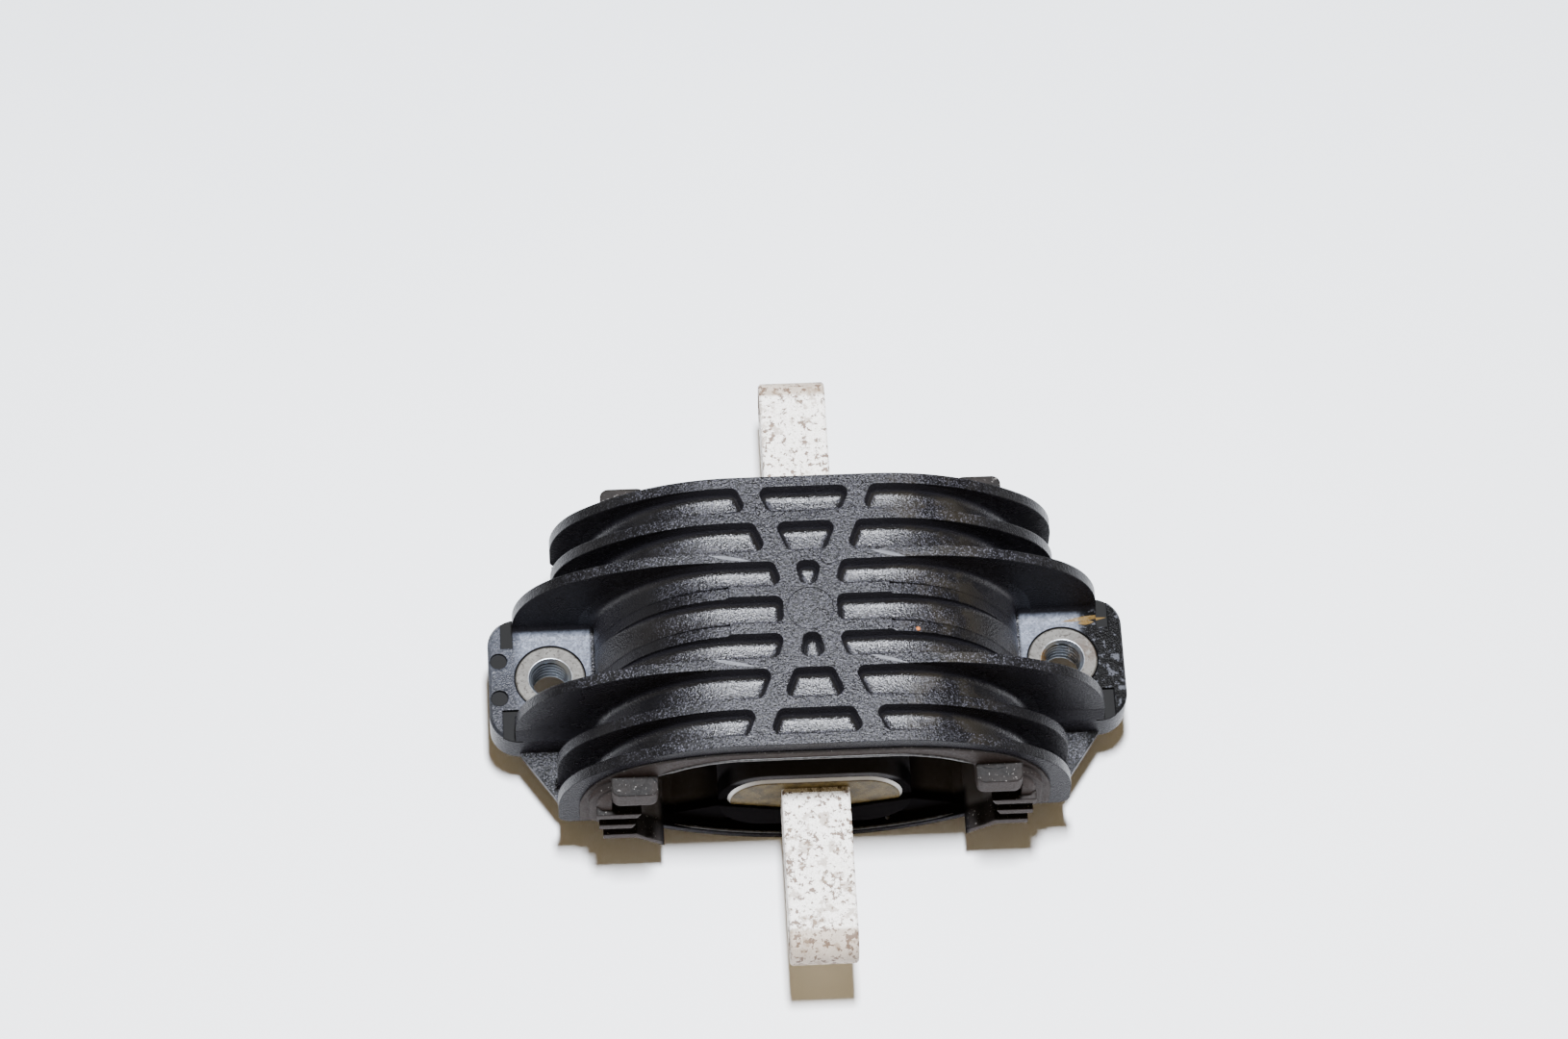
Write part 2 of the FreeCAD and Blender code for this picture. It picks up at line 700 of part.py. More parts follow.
def rubber_body():
    """One rubber moulding: ring lining, face laps, side columns, webs and core skin."""
    lining = cavity(0, LAP_FACE_Y).cut(cavity(LINING, LAP_FACE_Y + CLEAR))
    skin = core_skin(CORE_HALF_DEPTH - CORE_RIM_BARE)
    right = web().fuse(side_column())
    body = lining.fuse([skin, apron(), face_lap(), right, mirror_x(right)])
    return body.cut([core_blank(), bar_solid()]).removeSplitter()


def export(shape, name):
    shape.exportStep(os.path.join("parts", name + ".step"))
    solids = len(shape.Solids)
    print(name, "solids", solids, "volume", round(shape.Volume, 1), "valid", shape.isValid())


os.makedirs("parts", exist_ok=True)
export(housing(), "housing")
export(bush(-BOLT_SPACING / 2), "bush_left")
export(bush(BOLT_SPACING / 2), "bush_right")
export(rubber_body(), "rubber_body")
export(core_sleeve(), "core_sleeve")
export(bar_solid(), "core_bar")
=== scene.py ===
"""Transmission mount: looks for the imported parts. Metres. X runs across the ears, Y along the bar, Z up."""

import math
import random

import bmesh
import bpy
from mathutils import Matrix, Vector


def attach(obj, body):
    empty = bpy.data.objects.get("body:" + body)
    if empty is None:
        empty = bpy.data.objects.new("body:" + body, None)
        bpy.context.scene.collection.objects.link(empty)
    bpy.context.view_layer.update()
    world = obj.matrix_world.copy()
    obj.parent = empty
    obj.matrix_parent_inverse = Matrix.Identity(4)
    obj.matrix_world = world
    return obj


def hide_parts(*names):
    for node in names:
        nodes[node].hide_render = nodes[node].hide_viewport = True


# Camera, fitted to the photograph.
CAMERA_TARGET = Vector((-0.00453, 0.0439, 0.020))
CAMERA_DISTANCE = 1.609
CAMERA_AZIMUTH = math.radians(5.31)
CAMERA_ELEVATION = math.radians(62.0)
CAMERA_ROLL = math.radians(2.62)
CAMERA_LENS = 127.2
CAMERA_SENSOR = 36.0
CAMERA_REACH = 20.0

# Floor under the belly of the ring, light and surroundings. The light points at the origin.
FLOOR_Z = -0.0127
FLOOR_SIZE = 3.0
KEY_LIGHT_PLACE = Vector((0.0, 0.04, 1.30))
KEY_LIGHT_SIZE = (0.12, 0.20)
KEY_LIGHT_POWER = 76.0
KEY_LIGHT_COLOUR = (0.91, 0.94, 1.0)
SKY_COLOUR = (1.0, 0.76, 0.42, 1.0)
SKY_STRENGTH = 0.30

# Ring and tube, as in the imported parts.
RING_HALF_DEPTH = 0.0424
CROWN_FLAT = 0.020
SPRING_Z = 0.0133
TUBE_HALF_WIDTH = 0.061
TUBE_CROWN_Z = 0.0448
TUBE_CORNER_R = 0.020
TUBE_FOOT_Z = 0.005
LINING_INSET = 0.0040
BELLY_CENTRE_Z = 0.0870
BELLY_INNER_R = 0.0964

# Ears, and the wide fins' feet on them.
EAR_TOP_Z = 0.0108
EAR_SIDE_Y = 0.0195
FIN_FACE_Y = 0.01855
FIN_FOOT_X = 0.0844
FAIRING_BITE = 0.0004
FAIRING_INNER_DROP = 0.0012
FAIRING_OUTER_DROP = 0.0009
FAIRING_RISE = 0.0042
PLUG_INNER_Y = 0.0097
PLUG_OUTER_Y = FIN_FACE_Y - 0.0032
PLUG_FLOOR_Z = 0.0096
PLUG_OUTER_RISE = 0.0001
PLUG_X = (0.0822, 0.0845)

# Gusset plates and the feet of the end fins over their ends.
GUSSET_HALF_DEPTH = 0.035
GUSSET_TOP_Z = 0.0022
GUSSET_TIP_X = 0.0725
GUSSET_OVERLAP = 0.0002
GUSSET_FOOT_INSET = 0.0012
GUSSET_HEAD_INSET = 0.0004
GUSSET_OUTER_RISE = 0.0003
END_FIN_BACK_Y = 0.0391
END_FIN_FOOT_Z = 0.004

# Pockets between the crossed ribs.
POCKET_DEPTH = 0.0045
POCKET_DRAFT = 0.0010
POCKET_CORNER_R = 0.0014
POCKET_FILLET_R = 0.0019
RIB_SLOPE = 0.40
RIB_START_X = 0.00083
RIB_WIDTH = 0.0057
CROWN_BOSS_R = 0.0076
FIN_GAPS = [(0.00755, 0.01525), (0.01855, 0.02785), (0.03115, 0.0391)]
LOW_FIN_HALF_GAP = 0.00425
LOW_FIN_STEP_X = 0.0228
LOW_FIN_HALF_WIDTH = 0.0602
LOW_FIN_CROWN_Z = 0.0481

# How finely the pocket liners are drawn, and the limits that keep them from folding over.
CORNER_STEPS = 5
FILLET_STEPS = 6
CHANNEL_STEPS = 44
DRAFT_FADE_LENGTH = 0.025
HEIGHT_STEP = 0.0001
LEAST_CORNER_R = 0.0001
LEAST_WALL = 0.00002
LEAST_FILLET_R = 0.00001
FILLET_WIDTH_SHARE = 0.4
FILLET_HEIGHT_SHARE = 0.8

# Bushes.
BUSH_X = 0.074
BUSH_OUTER_R = 0.010
BUSH_EDGE = 0.0004
BUSH_CHAMFER = 0.0010
BUSH_MOUTH_EDGE = 0.0001
BUSH_GAP_R = 0.0104
THREAD_MINOR_R = 0.0052
THREAD_DEPTH = 0.00072
THREAD_PITCH = 0.00175
THREAD_FLANK_SLOPE = 1.25
THREAD_CREST_SHARE = 0.1
THREAD_SIDES = 96
THREAD_ROWS = 120
CREST_R = THREAD_MINOR_R + 0.0003
BORE_R = THREAD_MINOR_R + 0.0011

# Core and bar.
CORE_FACE_Y = 0.0420
BAR_EYE_Y = 0.0853

# Thin rubber edges and nubs. A nub is given by its X, Y and radius, and rises by a share of that radius.
BEAD_SIDES = 8
BEAD_TAPER_STEPS = 6
OPENING_BEAD_STEPS = 60
OPENING_BEAD_SHARE = 0.62
OPENING_BEAD_OUT_Y = 0.0006
OPENING_BEAD_OUT = 0.0005
OPENING_BEAD_R = 0.00042
OPENING_BEAD_RAGGED = 0.00008
BELLY_RIM_STEPS = 40
BELLY_RIM_HALF_WIDTH = 0.040
BELLY_RIM_R = 0.00045
NUB_RISE_SHARE = 0.3
NUBS = [
    (-0.0206, -0.0382, 0.0012),
    (0.0171, -0.0350, 0.0010),
    (0.0190, -0.0385, 0.0012),
    (0.0215, -0.0400, 0.0007),
]

# Limits of marked places, each as the start and the end of its soft edge.
CROWN_END_X = (0.018, 0.045)
PAD_INNER_X = (0.0618, 0.0628)
PAD_OUTER_X = (0.081, 0.085)
PAD_LOW_Z = (0.004, 0.006)
PAD_HIGH_Z = (0.0112, 0.0125)
PAD_FRONT_TO_BACK_Y = (-0.012, 0.012)
RIGHT_PAD_END_X = (0.077, 0.083)
SCUFF_START_X = (0.0785, 0.0810)
NOTCH_INNER_X = (0.0821, 0.0824)
NOTCH_OUTER_X = (0.0879, 0.0882)
NOTCH_SIDE_Y = (0.0096, 0.0099)
NOTCH_LOW_Z = (0.0092, 0.0095)
NOTCH_HIGH_Z = (0.0099, 0.0102)
TINT_INNER_X = (0.016, 0.030)
TINT_OUTER_X = (0.042, 0.055)
FIN_TOP_Z = (0.048, 0.0485)
BLOCK_TOP_Z = (0.031, 0.0315)
RING_FACE_Y = (0.040, 0.0425)
# Sides of the cavity, towards which the painted light grows.
CAVITY_WALL_X = (0.028, 0.034)
# The apron under the core, where shade is painted.
APRON_SIDE_X = (0.043, 0.045)
APRON_TOP_Z = (0.020, 0.024)
APRON_INNER_Y = (0.034, 0.037)
BUSH_MOUTH_Z = (EAR_TOP_Z - 0.0013, EAR_TOP_Z - 0.0009)
BAR_TIP_Y = (BAR_EYE_Y - 0.0005, BAR_EYE_Y + 0.0010)
BAR_EDGE_X = (0.004, 0.009)
CORE_END_Y = (CORE_FACE_Y - 0.0004, CORE_FACE_Y - 0.0001)
# Painted light on the floor, lighter towards the front.
FLOOR_PAINTED_LIGHT_Y = (-0.25, 0.45)

# Round marks. The paint dot and the stains are given by X, Y, radius and soft edge.
GATE_MARK_X = -0.0887
GATE_MARK_Y = 0.0059
GATE_MARK_R = 0.00245
PIN_MARKS = [(-0.0113, 0.0317), (0.0120, 0.0314), (-0.0061, 0.0160), (0.0062, 0.0165)]
PIN_MARK_R = 0.0026
PAINT_DOT = (0.0302, -0.0066, 0.0005, 0.0003)
BUSH_STAIN = (0.0805, 0.0020, 0.0042, 0.0020)
BORE_RUST = (0.0700, -0.0010, 0.0042, 0.0008)

# Smooth slivers across the tops of the wide fins, and brown marks beside the right bush, by their ends.
STREAK_EDGE = 0.0001
SLIVER_HALF_WIDTH = 0.0006
CROWN_SLIVERS = [
    ((-0.0280, 0.0176), (-0.0160, 0.0154)),
    ((0.0178, 0.0179), (0.0280, 0.0152)),
    ((-0.0290, -0.0152), (-0.0162, -0.0180)),
    ((0.0158, -0.0153), (0.0262, -0.0183)),
]
RUST_MARK_HALF_WIDTH = 0.0007
RUST_MARKS = [((0.0740, 0.0119), (0.0880, 0.0134)), ((0.0790, 0.0112), (0.0840, 0.0116))]

# Cuts in the tops of the rubber blocks: a hook on the left one, a wavy line on the right one.
BLOCK_CUT_HALF_WIDTH = 0.0003
BLOCK_CUTS = [
    ((-0.0466, -0.0431), (-0.0448, -0.0452)),
    ((-0.0450, -0.0446), (-0.0444, -0.0482)),
    ((-0.0443, -0.0476), (-0.0462, -0.0494)),
    ((0.0460, -0.0440), (0.0502, -0.0448)),
    ((0.0495, -0.0449), (0.0535, -0.0441)),
]

# Small gap that keeps added surfaces from lying in a packed one.
LIFT = 0.00003

# The Mix node's colour sockets, by number, because its other sockets have the same names.
MIX_FIRST = 6
MIX_SECOND = 7
MIX_RESULT = 2


class Shader:
    """A node tree with short calls for the nodes that the materials share."""

    def __init__(self, name):
        self.material = bpy.data.materials.new(name)
        self.material.use_nodes = True
        self.tree = self.material.node_tree
        self.tree.nodes.clear()
        output = self.add("ShaderNodeOutputMaterial")
        self.surface = self.add("ShaderNodeBsdfPrincipled")
        self.feed(output.inputs["Surface"], self.surface.outputs["BSDF"])
        self.coords = self.add("ShaderNodeTexCoord").outputs["Object"]
        self.x, self.y, self.z = self.split(self.coords)

    def add(self, kind, **settings):
        node = self.tree.nodes.new(kind)
        for key, value in settings.items():
            setattr(node, key, value)
        return node

    def feed(self, socket, value):
        if isinstance(value, bpy.types.NodeSocket):
            self.tree.links.new(value, socket)
        else:
            socket.default_value = value

    def split(self, vector):
        node = self.add("ShaderNodeSeparateXYZ")
        self.feed(node.inputs[0], vector)
        return node.outputs

    def noise(self, scale, detail=2.0, roughness=0.5):
        node = self.add("ShaderNodeTexNoise")
        self.feed(node.inputs["Vector"], self.coords)
        self.feed(node.inputs["Scale"], scale)
        self.feed(node.inputs["Detail"], detail)
        self.feed(node.inputs["Roughness"], roughness)
        return node.outputs["Fac"]

    def voronoi(self, scale, output="Distance"):
        node = self.add("ShaderNodeTexVoronoi", feature="F1")
        self.feed(node.inputs["Vector"], self.coords)
        self.feed(node.inputs["Scale"], scale)
        return node.outputs[output]

    def ramp(self, value, low, high, out_low=0.0, out_high=1.0):
        node = self.add("ShaderNodeMapRange", interpolation_type="SMOOTHSTEP")
        self.feed(node.inputs["Value"], value)
        self.feed(node.inputs["From Min"], low)
        self.feed(node.inputs["From Max"], high)
        self.feed(node.inputs["To Min"], out_low)
        self.feed(node.inputs["To Max"], out_high)
        return node.outputs["Result"]

    def between(self, value, rise, fall):
        """1 between two limits, each given as the start and the end of its soft edge."""
        return self.times(self.ramp(value, *rise), self.ramp(value, *fall, 1.0, 0.0))

    def blend(self, mask, off, on):
        """A number that is one value where a mask is 0 and another where it is 1."""
        return self.ramp(mask, 0.0, 1.0, off, on)

    def math(self, operation, first, second=0.0):
        node = self.add("ShaderNodeMath", operation=operation)
        self.feed(node.inputs[0], first)
        self.feed(node.inputs[1], second)
        return node.outputs["Value"]

    def times(self, *values):
        result = values[0]
        for value in values[1:]:
            result = self.math("MULTIPLY", result, value)
        return result

    def most(self, masks):
        """The strongest of several masks."""
        result = masks[0]
        for mask in masks[1:]:
            result = self.math("MAXIMUM", result, mask)
        return result

    def inverse(self, mask):
        return self.math("SUBTRACT", 1.0, mask)

    def mix(self, factor, first, second):
        node = self.add("ShaderNodeMix", data_type="RGBA")
        self.feed(node.inputs["Factor"], factor)
        self.feed(node.inputs[MIX_FIRST], first)
        self.feed(node.inputs[MIX_SECOND], second)
        return node.outputs[MIX_RESULT]

    def side(self):
        """Distance from the middle towards either ear."""
        return self.math("ABSOLUTE", self.x)

    def depth(self):
        """Distance from the middle towards either end of the bar."""
        return self.math("ABSOLUTE", self.y)

    def facing(self, low, high, out_low=0.0, out_high=1.0):
        """How a surface faces: a ramp over the upward part of its normal."""
        normal = self.add("ShaderNodeNewGeometry").outputs["Normal"]
        return self.ramp(self.split(normal)[2], low, high, out_low, out_high)

    def upward(self):
        return self.facing(0.1, 0.95)

    def downward(self):
        return self.facing(-0.8, -0.2, 1.0, 0.0)

    def near(self, x, y, radius, edge=0.0003):
        """1 inside an upright round column of space, 0 outside it."""
        across = self.math("SUBTRACT", self.x, x)
        along = self.math("SUBTRACT", self.y, y)
        squares = self.math("ADD", self.times(across, across), self.times(along, along))
        distance = self.math("SQRT", squares)
        return self.ramp(distance, radius - edge, radius + edge, 1.0, 0.0)

    def near_bushes(self, radius, edge):
        """1 inside a round column on the axis of each bush, 0 outside them."""
        return self.most([self.near(x, 0.0, radius, edge) for x in (-BUSH_X, BUSH_X)])

    def ring(self, x, y, radius, width=0.00025):
        """1 on a thin circle seen from above, 0 elsewhere."""
        outer = self.near(x, y, radius, width)
        inner = self.near(x, y, radius - width, width)
        return self.math("SUBTRACT", outer, inner)

    def streak(self, start, end, half_width):
        """1 on a thin straight mark seen from above, pointed at both ends."""
        run_x, run_y = end[0] - start[0], end[1] - start[1]
        length = math.hypot(run_x, run_y)
        from_x = self.math("SUBTRACT", self.x, start[0])
        from_y = self.math("SUBTRACT", self.y, start[1])
        along_x = self.times(from_x, run_x / length**2)
        along_y = self.times(from_y, run_y / length**2)
        along = self.math("ADD", along_x, along_y)
        across_x = self.times(from_x, -run_y / length)
        across_y = self.times(from_y, run_x / length)
        across = self.math("ADD", across_x, across_y)
        taper = self.times(4.0, along, self.inverse(along))
        room = self.math("SUBTRACT", self.times(half_width, taper), self.math("ABSOLUTE", across))
        return self.ramp(room, 0.0, STREAK_EDGE)

    def bump(self, height, distance, strength=1.0, normal=None):
        node = self.add("ShaderNodeBump")
        self.feed(node.inputs["Height"], height)
        self.feed(node.inputs["Distance"], distance)
        self.feed(node.inputs["Strength"], strength)
        if normal is not None:
            self.feed(node.inputs["Normal"], normal)
        return node.outputs["Normal"]

    def soft_edges(self, radius):
        """Normal that rounds every sharp edge over a small radius."""
        node = self.add("ShaderNodeBevel", samples=6)
        self.feed(node.inputs["Radius"], radius)
        return node.outputs["Normal"]

    def finish(self, colour, roughness, normal, metallic=0.0, specular=0.5):
        self.feed(self.surface.inputs["Base Color"], colour)
        self.feed(self.surface.inputs["Roughness"], roughness)
        self.feed(self.surface.inputs["Metallic"], metallic)
        self.feed(self.surface.inputs["Specular IOR Level"], specular)
        self.feed(self.surface.inputs["Normal"], normal)
        return self.material


def rgb(red, green, blue):
    return (red, green, blue, 1.0)


# Materials.


def ear_pad_dust_and_sheen(s):
    """Pale tops of the ears, partly wear and dust and partly painted sheen, brightest beside the back fins
    and faded towards their outer ends.
    """
    side = s.side()
    top = s.times(s.between(s.z, PAD_LOW_Z, PAD_HIGH_Z), s.ramp(side, *PAD_INNER_X), s.upward())
    ends = s.times(s.ramp(side, *PAD_OUTER_X, 1.0, 0.25), s.ramp(s.x, *RIGHT_PAD_END_X, 1.0, 0.0))
    towards_back = s.ramp(s.y, *PAD_FRONT_TO_BACK_Y, 0.30, 1.0)
    speckle = s.ramp(s.voronoi(1300.0, "Color"), 0.2, 0.9, 0.55, 1.0)
    return s.times(top, ends, towards_back, speckle)


def smooth_places(s):
    """The two gate marks on the left ear and the floors of the ears' notches."""
    marks = [s.near(GATE_MARK_X, y, GATE_MARK_R) for y in (GATE_MARK_Y, -GATE_MARK_Y)]
    notch = s.between(s.side(), NOTCH_INNER_X, NOTCH_OUTER_X)
    notch = s.times(notch, s.ramp(s.depth(), *NOTCH_SIDE_Y), s.between(s.z, NOTCH_LOW_Z, NOTCH_HIGH_Z))
    return s.most(marks + [notch])


def grained_black(s, cloud, flank, sparkle):
    """Black of the plastic: painted light on faces that don't face up, pale ears of dust and painted sheen,
    painted glints and grit on flat tops, a faint tint on the right.
    """
    flat = s.facing(0.80, 0.99)
    colour = s.mix(s.ramp(cloud, 0.35, 0.65), rgb(0.0025, 0.0025, 0.003), rgb(0.0055, 0.0054, 0.0056))
    # Painted light: faces that don't face up get a lighter, bluer black than the flat tops.
    colour = s.mix(s.upward(), rgb(0.014, 0.0135, 0.017), colour)
    colour = s.mix(ear_pad_dust_and_sheen(s), colour, rgb(0.170, 0.190, 0.240))

    # Painted glints: bright specks on flat upward faces.
    painted_glints = s.ramp(s.voronoi(3600.0, "Color"), sparkle, sparkle + 0.03)
    painted_glints = s.times(painted_glints, flat, s.ramp(cloud, 0.30, 0.62, 0.25, 1.0))
    colour = s.mix(painted_glints, colour, rgb(0.083, 0.083, 0.102))

    grit = s.ramp(s.noise(1500.0, 3.0, 0.75), 0.46, 0.60)
    grit = s.times(grit, flat, s.blend(flank, 1.0, 0.3))
    colour = s.mix(grit, colour, rgb(0.032, 0.032, 0.039))

    tint = s.times(s.between(s.x, TINT_INNER_X, TINT_OUTER_X), s.ramp(cloud, 0.45, 0.62))
    return s.mix(s.times(tint, s.upward(), 0.2), colour, rgb(0.034, 0.026, 0.012))


def marked(s, colour):
    """A colour with the slivers on the fins' tops, the brown marks by the right bush and the paint dot."""
    slivers = s.most([s.streak(*ends, SLIVER_HALF_WIDTH) for ends in CROWN_SLIVERS])
    colour = s.mix(s.times(slivers, s.ramp(s.z, *FIN_TOP_Z)), colour, rgb(0.10, 0.103, 0.115))
    rust = s.most([s.streak(*ends, RUST_MARK_HALF_WIDTH) for ends in RUST_MARKS])
    colour = s.mix(s.times(rust, s.upward(), 0.9), colour, rgb(0.11, 0.068, 0.022))
    return s.mix(s.near(*PAINT_DOT), colour, rgb(0.42, 0.13, 0.03))


def grained_relief(s, dull):
    """Grain outside the dull places, with the thin circles that the ejector pins leave."""
    grain = s.math("ADD", s.noise(2300.0, 2.0, 0.6), s.times(s.voronoi(1500.0), 0.5))
    pins = s.most([s.ring(*place, PIN_MARK_R) for place in PIN_MARKS])
    height = s.math("SUBTRACT", s.times(grain, s.inverse(dull)), s.times(pins, 0.8))
    return s.bump(height, 0.0002, 0.8, s.soft_edges(0.0005))


def plastic_material(name, gloss, shine, sparkle):
    """Glass-filled black plastic: grained, smooth at its marks, scuffed at the right end."""
    s = Shader(name)
    cloud = s.noise(75.0, 4.0, 0.6)
    flank = s.ramp(s.side(), *CROWN_END_X)
    smooth = smooth_places(s)
    colour = s.mix(smooth, grained_black(s, cloud, flank, sparkle), rgb(0.010, 0.010, 0.010))

    scuffed = s.times(s.ramp(s.x, *SCUFF_START_X), s.upward(), s.inverse(smooth))
    veins = s.ramp(s.noise(430.0, 4.0, 0.7), 0.56, 0.63)
    scuffs = s.mix(veins, rgb(0.003, 0.003, 0.003), rgb(0.060, 0.062, 0.072))
    colour = marked(s, s.mix(s.times(scuffed, 0.95), colour, scuffs))

    gap = s.near_bushes(BUSH_GAP_R, 0.0001)
    colour = s.mix(gap, colour, rgb(0.0015, 0.0015, 0.0015))
    dull = s.math("MAXIMUM", smooth, gap)
    roughness = s.mix(dull, s.ramp(cloud, 0.3, 0.7, gloss - 0.04, gloss + 0.04), rgb(0.6, 0.6, 0.6))
    specular = s.times(s.blend(dull, shine, 0.06), s.ramp(s.upward(), 0.0, 0.4, 0.32, 1.0))
    specular = s.times(specular, s.blend(scuffed, 1.0, 0.35), s.blend(flank, 1.0, 0.75))
    return s.finish(colour, roughness, grained_relief(s, dull), specular=specular)


def rubber_material():
    """Matt black rubber: bloom and specks on its tops, brown fronts, cut blocks, painted light in the cavity
    and painted shade on the apron under the core.
    """
    s = Shader("bloomed_black_rubber")
    cloud = s.noise(160.0, 5.0, 0.65)
    fine = s.noise(1800.0, 3.0, 0.6)
    outside = s.ramp(s.depth(), *RING_FACE_Y)
    bloom = s.times(s.ramp(cloud, 0.35, 0.65), s.upward(), outside)
    tops = s.mix(bloom, rgb(0.0075, 0.0068, 0.0065), rgb(0.014, 0.0115, 0.0105))
    fronts = s.mix(outside, tops, rgb(0.022, 0.015, 0.013))
    # Painted light: the rubber inside the cavity is lighter than the black outside, and lightest towards its
    # sides.
    cavity_painted_light = s.mix(s.ramp(s.side(), *CAVITY_WALL_X), rgb(0.036, 0.034, 0.038), rgb(0.100, 0.094, 0.098))
    colour = s.mix(outside, cavity_painted_light, s.mix(s.upward(), fronts, tops))

    cuts = s.most([s.streak(*ends, BLOCK_CUT_HALF_WIDTH) for ends in BLOCK_CUTS])
    colour = s.mix(s.times(cuts, s.ramp(s.z, *BLOCK_TOP_Z)), colour, rgb(0.001, 0.001, 0.001))
    specks = s.ramp(s.noise(1100.0, 3.0, 0.7), 0.63, 0.68)
    colour = s.mix(s.times(specks, s.upward(), outside, 0.7), colour, rgb(0.20, 0.19, 0.18))

    # Painted shade: the apron under the core and bar is nearly black and has no specular.
    apron_painted_shade = s.times(s.ramp(s.side(), *APRON_SIDE_X, 1.0, 0.0), s.ramp(s.z, *APRON_TOP_Z, 1.0, 0.0))
    apron_painted_shade = s.times(apron_painted_shade, s.ramp(s.depth(), *APRON_INNER_Y))
    colour = s.mix(apron_painted_shade, colour, rgb(0.0055, 0.005, 0.0055))
    roughness = s.ramp(fine, 0.3, 0.7, 0.5, 0.7)
    normal = s.bump(fine, 0.00012, 0.5, s.soft_edges(0.0010))
    return s.finish(colour, roughness, normal, specular=s.blend(apron_painted_shade, 0.11, 0.0))


def rubber_edge_material():
    """Smooth bright rubber of the thin edges left by the mould."""
    s = Shader("smooth_rubber_edge")
    patches = s.ramp(s.noise(900.0, 3.0, 0.7), 0.45, 0.6)
    colour = s.mix(patches, rgb(0.05, 0.05, 0.052), rgb(0.015, 0.015, 0.015))
    return s.finish(colour, 0.35, s.bump(s.noise(1500.0), 0.0001, 0.4))


def bush_material():
    """Plated steel: a rough stained face, a blue-grey bore with painted shade in its thread grooves, rust in
    the right one.
    """
    s = Shader("stained_bush_steel")
    cloud = s.noise(420.0, 5.0, 0.7)
    fine = s.noise(1000.0, 4.0, 0.75)
    face = s.mix(s.ramp(cloud, 0.35, 0.65), rgb(0.105, 0.10, 0.088), rgb(0.065, 0.060, 0.052))
    face = s.mix(s.ramp(fine, 0.55, 0.61), face, rgb(0.020, 0.015, 0.010))
    stain = s.times(s.near(*BUSH_STAIN), s.ramp(cloud, 0.3, 0.55))
    face = s.mix(s.times(stain, 0.7), face, rgb(0.045, 0.028, 0.016))

    rust = s.times(s.near(*BORE_RUST), s.ramp(cloud, 0.35, 0.55))
    metal = s.mix(s.times(rust, 0.9), rgb(0.36, 0.39, 0.43), rgb(0.42, 0.24, 0.07))
    # Painted shade: below the mouth the thread grooves are dark, and only the crests keep the metal's colour.
    crest = s.near_bushes(CREST_R, 0.0002)
    mouth = s.ramp(s.z, *BUSH_MOUTH_Z)
    metal = s.mix(s.math("MAXIMUM", crest, mouth), rgb(0.05, 0.052, 0.058), metal)

    inside = s.near_bushes(BORE_R, 0.0002)
    colour = s.mix(inside, face, metal)
    roughness = s.mix(inside, rgb(0.55, 0.55, 0.55), rgb(0.28, 0.28, 0.28))
    normal = s.bump(s.times(fine, s.inverse(inside)), 0.0002, 0.7)
    return s.finish(colour, roughness, normal, metallic=s.blend(inside, 0.15, 0.95))


def bar_material():
    """Rough grit-blasted alloy, nearly white with brown specks; browner round ends, and an underside painted
    brown to darken its shadow on the floor.
    """
    s = Shader("blasted_bar_alloy")
    patches = s.noise(130.0, 4.0, 0.6)
    fine = s.noise(2400.0, 3.0, 0.65)
    pale = s.mix(s.ramp(fine, 0.38, 0.60), rgb(0.72, 0.68, 0.62), rgb(0.98, 0.95, 0.90))
    tan = s.mix(s.ramp(patches, 0.40, 0.60), rgb(0.26, 0.19, 0.125), rgb(0.38, 0.30, 0.22))
    tip = s.ramp(s.depth(), *BAR_TIP_Y)
    colour = s.mix(s.times(tip, 0.8), pale, tan)

    edge = s.ramp(s.side(), *BAR_EDGE_X)
    cover = s.math("SUBTRACT", s.ramp(patches, 0.38, 0.62, 0.58, 0.52), s.times(edge, 0.02))
    rust = s.ramp(s.math("SUBTRACT", s.noise(520.0, 5.0, 0.72), cover), 0.0, 0.035)
    colour = s.mix(s.times(rust, 0.95), colour, rgb(0.11, 0.065, 0.04))
    blots = s.ramp(s.noise(230.0, 4.0, 0.65), 0.55, 0.62)
    colour = s.mix(s.times(blots, 0.6), colour, rgb(0.22, 0.155, 0.10))
    # Painted shade: the underside is brown, so less light bounces into the bar's shadow on the floor.
    colour = s.mix(s.downward(), colour, rgb(0.42, 0.33, 0.20))

    roughness = s.ramp(fine, 0.3, 0.7, 0.5, 0.75)
    height = s.math("SUBTRACT", fine, s.times(rust, 0.5))
    return s.finish(colour, roughness, s.bump(height, 0.00022, 0.6, s.soft_edges(0.0006)))


def core_material():
    """Cast alloy: a brown film on the end faces and a bright bare rim."""
    s = Shader("stained_core_alloy")
    cloud = s.noise(240.0, 5.0, 0.65)
    fine = s.noise(1500.0, 4.0, 0.7)
    film = s.mix(s.ramp(cloud, 0.38, 0.62), rgb(0.050, 0.033, 0.008), rgb(0.100, 0.070, 0.020))
    film = s.mix(s.ramp(fine, 0.58, 0.66), film, rgb(0.20, 0.172, 0.10))
    on_face = s.ramp(s.depth(), *CORE_END_Y)
    colour = s.mix(on_face, rgb(0.55, 0.54, 0.52), film)
    roughness = s.ramp(fine, 0.3, 0.7, 0.40, 0.65)
    normal = s.bump(fine, 0.00012, 0.5, s.soft_edges(0.0003))
    metallic = s.blend(on_face, 0.5, 0.0)
    return s.finish(colour, roughness, normal, metallic, s.blend(on_face, 0.5, 0.15))


